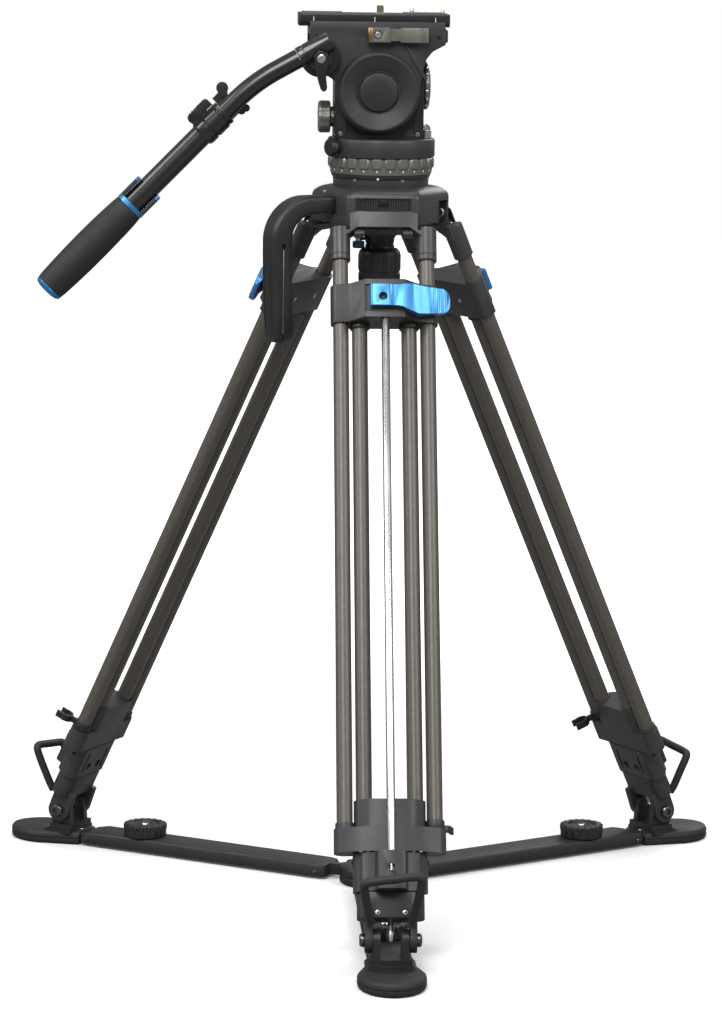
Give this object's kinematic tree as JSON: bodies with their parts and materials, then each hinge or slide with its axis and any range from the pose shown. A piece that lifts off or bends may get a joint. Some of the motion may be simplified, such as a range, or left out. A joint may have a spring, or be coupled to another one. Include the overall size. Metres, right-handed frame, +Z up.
{
  "type": "video camera tripod with fluid head",
  "caption": "Twin-tube carbon tripod with a bowl-mounted fluid head, pan bar, sliding camera plate and floor spreader.",
  "frame": {"origin": "middle of the spreader hub's underside, on the floor, on the axis of the bowl", "axes": "+Z up; -Y towards the front leg; X along the camera plate, with the pan bar on the -X side"},
  "size_m": [0.7848, 0.6884, 0.928],
  "materials": {
    "casting": "black powder coat, satin",
    "carbon_tube": "carbon fibre laminate, satin, faint lengthwise streaks",
    "blue_anodised": "bright blue anodised",
    "black_anodised": "black anodised, semi-gloss",
    "gunmetal": "warm grey anodised, satin",
    "black_plastic": "moulded, fine texture",
    "rubber_foot": "matte rubber",
    "rubber_grip": "soft foam rubber",
    "steel": "polished fasteners and rods"
  },
  "bodies": {
    "crown": {"crown": "casting", "carry_handle": "black_plastic"},
    "front_leg_upper": {"front_leg_yoke": "casting", "front_upper_tube_left": "carbon_tube", "front_upper_tube_right": "carbon_tube", "front_guide_block": "casting"},
    "front_leg_middle": {"front_middle_collar": "casting", "front_middle_tube_left": "carbon_tube", "front_middle_tube_right": "carbon_tube", "front_rod_clamp": "casting"},
    "front_lever": {"front_cam_lever": "blue_anodised"},
    "front_foot_section": {"front_foot_section": "casting"},
    "front_pad": {"front_foot_pad": "rubber_foot"},
    "front_arm": {"front_arm_channel": "black_plastic"},
    "front_arm_lock": {"front_arm_knob": "black_plastic"},
    "right_leg_upper": {"right_leg_yoke": "casting", "right_upper_tube_left": "carbon_tube", "right_upper_tube_right": "carbon_tube", "right_guide_block": "casting"},
    "right_leg_middle": {"right_middle_collar": "casting", "right_middle_tube_left": "carbon_tube", "right_middle_tube_right": "carbon_tube", "right_rod_clamp": "casting"},
    "right_lever": {"right_cam_lever": "blue_anodised"},
    "right_foot_section": {"right_foot_section": "casting"},
    "right_pad": {"right_foot_pad": "rubber_foot"},
    "right_arm": {"right_arm_channel": "black_plastic"},
    "right_arm_lock": {"right_arm_knob": "black_plastic"},
    "left_leg_upper": {"left_leg_yoke": "casting", "left_upper_tube_left": "carbon_tube", "left_upper_tube_right": "carbon_tube", "left_guide_block": "casting"},
    "left_leg_middle": {"left_middle_collar": "casting", "left_middle_tube_left": "carbon_tube", "left_middle_tube_right": "carbon_tube", "left_rod_clamp": "casting"},
    "left_lever": {"left_cam_lever": "blue_anodised"},
    "left_foot_section": {"left_foot_section": "casting"},
    "left_pad": {"left_foot_pad": "rubber_foot"},
    "left_arm": {"left_arm_channel": "black_plastic"},
    "left_arm_lock": {"left_arm_knob": "black_plastic"},
    "hub": {"spreader_hub": "black_plastic"},
    "ball": {"bowl_ball": "casting"},
    "tie_down": {"tie_down_knob": "black_plastic"},
    "pan_ring": {"pan_drag_ring": "gunmetal"},
    "pan_head": {"pan_base": "casting"},
    "dial": {"counterbalance_dial": "gunmetal"},
    "tilt_brake": {"tilt_brake_knob": "gunmetal"},
    "pan_brake": {"pan_brake_knob": "black_plastic"},
    "tilt_head": {"tilt_platform": "casting", "tilt_cover": "black_plastic"},
    "tilt_ring": {"tilt_drag_ring": "gunmetal"},
    "plate": {"camera_plate": "black_anodised"},
    "plate_lock": {"plate_lever": "gunmetal"},
    "bar": {"bar_clamp": "black_anodised", "pan_bar_upper": "black_anodised"},
    "bar_lock": {"bar_wing_lever": "black_plastic"},
    "bar_lower": {"pan_bar_lower": "black_anodised", "grip": "rubber_grip"},
    "bar_twist": {"bar_collar": "black_plastic"}
  },
  "joints": [
    {"name": "front_leg_spread", "type": "hinge", "parent": "crown", "child": "front_leg_upper", "pos_m": [0, -0.05, 0.731], "axis": [-1, 0, 0], "range_deg": [0, 10]},
    {"name": "front_upper_extension", "type": "slide", "parent": "front_leg_upper", "child": "front_leg_middle", "axis": [0, -0.4349, -0.9005], "range_m": [0, 0.4]},
    {"name": "front_lever_open", "type": "hinge", "parent": "front_leg_middle", "child": "front_lever", "pos_m": [-0.012, -0.12885, 0.64248], "axis": [0, -0.4349, -0.9005], "range_deg": [0, 100]},
    {"name": "front_lower_extension", "type": "slide", "parent": "front_leg_middle", "child": "front_foot_section", "axis": [0, -0.4349, -0.9005], "range_m": [0, 0.35]},
    {"name": "front_pad_swivel", "type": "hinge", "parent": "front_foot_section", "child": "front_pad", "pos_m": [0, -0.3777, 0.03894], "axis": [-1, 0, 0], "range_deg": [-10, 0]},
    {"name": "front_arm_slide", "type": "slide", "parent": "front_pad", "child": "front_arm", "axis": [0, 1, 0], "range_m": [0, 0.1157]},
    {"name": "front_arm_knob_turn", "type": "hinge", "parent": "front_arm", "child": "front_arm_lock", "pos_m": [0, -0.28, 0.022], "axis": [0, 0, 1], "range_deg": [0, 270]},
    {"name": "right_leg_spread", "type": "hinge", "parent": "crown", "child": "right_leg_upper", "pos_m": [0.0433, 0.025, 0.731], "axis": [0.5, -0.866, 0], "range_deg": [0, 10]},
    {"name": "right_upper_extension", "type": "slide", "parent": "right_leg_upper", "child": "right_leg_middle", "axis": [0.3766, 0.2175, -0.9005], "range_m": [0, 0.4]},
    {"name": "right_lever_open", "type": "hinge", "parent": "right_leg_middle", "child": "right_lever", "pos_m": [0.11758, 0.05403, 0.64248], "axis": [0.3766, 0.2175, -0.9005], "range_deg": [0, 100]},
    {"name": "right_lower_extension", "type": "slide", "parent": "right_leg_middle", "child": "right_foot_section", "axis": [0.3766, 0.2175, -0.9005], "range_m": [0, 0.35]},
    {"name": "right_pad_swivel", "type": "hinge", "parent": "right_foot_section", "child": "right_pad", "pos_m": [0.3271, 0.18885, 0.03894], "axis": [0.5, -0.866, 0], "range_deg": [-10, 0]},
    {"name": "right_arm_slide", "type": "slide", "parent": "right_pad", "child": "right_arm", "axis": [-0.866, -0.5, 0], "range_m": [0, 0.1157]},
    {"name": "right_arm_knob_turn", "type": "hinge", "parent": "right_arm", "child": "right_arm_lock", "pos_m": [0.24249, 0.14, 0.022], "axis": [0, 0, 1], "range_deg": [0, 270]},
    {"name": "left_leg_spread", "type": "hinge", "parent": "crown", "child": "left_leg_upper", "pos_m": [-0.0433, 0.025, 0.731], "axis": [0.5, 0.866, 0], "range_deg": [0, 10]},
    {"name": "left_upper_extension", "type": "slide", "parent": "left_leg_upper", "child": "left_leg_middle", "axis": [-0.3766, 0.2175, -0.9005], "range_m": [0, 0.4]},
    {"name": "left_lever_open", "type": "hinge", "parent": "left_leg_middle", "child": "left_lever", "pos_m": [-0.10558, 0.07482, 0.64248], "axis": [-0.3766, 0.2175, -0.9005], "range_deg": [0, 100]},
    {"name": "left_lower_extension", "type": "slide", "parent": "left_leg_middle", "child": "left_foot_section", "axis": [-0.3766, 0.2175, -0.9005], "range_m": [0, 0.35]},
    {"name": "left_pad_swivel", "type": "hinge", "parent": "left_foot_section", "child": "left_pad", "pos_m": [-0.3271, 0.18885, 0.03894], "axis": [0.5, 0.866, 0], "range_deg": [-10, 0]},
    {"name": "left_arm_slide", "type": "slide", "parent": "left_pad", "child": "left_arm", "axis": [0.866, -0.5, 0], "range_m": [0, 0.1157]},
    {"name": "left_arm_knob_turn", "type": "hinge", "parent": "left_arm", "child": "left_arm_lock", "pos_m": [-0.24249, 0.14, 0.022], "axis": [0, 0, 1], "range_deg": [0, 270]},
    {"name": "hub_rise", "type": "slide", "parent": "crown", "child": "hub", "axis": [0, 0, 1], "range_m": [0, 0.0679]},
    {"name": "bowl_levelling", "type": "hinge", "parent": "crown", "child": "ball", "pos_m": [0, 0, 0.752], "axis": [1, 0, 0], "range_deg": [-5, 5]},
    {"name": "tie_down_turn", "type": "hinge", "parent": "ball", "child": "tie_down", "pos_m": [0, 0, 0.68], "axis": [0, 0, 1], "range_deg": [0, 360]},
    {"name": "pan_drag_turn", "type": "hinge", "parent": "ball", "child": "pan_ring", "pos_m": [0, 0, 0.77], "axis": [0, 0, 1], "range_deg": [-150, 150]},
    {"name": "pan", "type": "hinge", "parent": "ball", "child": "pan_head", "pos_m": [0, 0, 0.78], "axis": [0, 0, 1], "continuous": true},
    {"name": "tilt", "type": "hinge", "parent": "pan_head", "child": "tilt_head", "pos_m": [-0.006, 0, 0.848], "axis": [0, 1, 0], "range_deg": [-25, 35]},
    {"name": "counterbalance_turn", "type": "hinge", "parent": "pan_head", "child": "dial", "pos_m": [0.0423, 0, 0.853], "axis": [1, 0, 0], "range_deg": [0, 330]},
    {"name": "tilt_brake_turn", "type": "hinge", "parent": "pan_head", "child": "tilt_brake", "pos_m": [-0.0503, 0, 0.82], "axis": [-1, 0, 0], "range_deg": [0, 120]},
    {"name": "pan_brake_turn", "type": "hinge", "parent": "pan_head", "child": "pan_brake", "pos_m": [-0.04785, -0.02967, 0.79], "axis": [-0.8499, -0.5269, 0], "range_deg": [0, 120]},
    {"name": "tilt_drag_turn", "type": "hinge", "parent": "tilt_head", "child": "tilt_ring", "pos_m": [-0.006, 0, 0.848], "axis": [0, 1, 0], "range_deg": [-150, 150]},
    {"name": "plate_slide", "type": "slide", "parent": "tilt_head", "child": "plate", "axis": [1, 0, 0], "range_m": [-0.035, 0.035]},
    {"name": "plate_lock_open", "type": "hinge", "parent": "tilt_head", "child": "plate_lock", "pos_m": [-0.013, -0.0464, 0.903], "axis": [0, 0, -1], "range_deg": [0, 80]},
    {"name": "bar_angle", "type": "hinge", "parent": "tilt_head", "child": "bar", "pos_m": [-0.0665, -0.058, 0.883], "axis": [0, 1, 0], "range_deg": [-5, 55]},
    {"name": "bar_lock_turn", "type": "hinge", "parent": "bar", "child": "bar_lock", "pos_m": [-0.0665, -0.0695, 0.883], "axis": [0, -1, 0], "range_deg": [-30, 30]},
    {"name": "bar_extension", "type": "slide", "parent": "bar", "child": "bar_lower", "axis": [-0.7009, 0, -0.7133], "range_m": [0, 0.1]},
    {"name": "bar_twist_lock", "type": "hinge", "parent": "bar_lower", "child": "bar_twist", "pos_m": [-0.17836, -0.058, 0.81258], "axis": [-0.7009, 0, -0.7133], "range_deg": [-45, 45]}
  ],
  "couplings": [
    {"joint": "front_pad_swivel", "follows": "front_leg_spread", "ratio": -1},
    {"joint": "front_arm_slide", "follows": "front_leg_spread", "m_per_rad": 0.66002},
    {"joint": "right_leg_spread", "follows": "front_leg_spread", "ratio": 1},
    {"joint": "right_pad_swivel", "follows": "front_leg_spread", "ratio": -1},
    {"joint": "right_arm_slide", "follows": "front_leg_spread", "m_per_rad": 0.66002},
    {"joint": "left_leg_spread", "follows": "front_leg_spread", "ratio": 1},
    {"joint": "left_pad_swivel", "follows": "front_leg_spread", "ratio": -1},
    {"joint": "left_arm_slide", "follows": "front_leg_spread", "m_per_rad": 0.66002},
    {"joint": "hub_rise", "follows": "front_leg_spread", "m_per_rad": 0.38628}
  ]
}
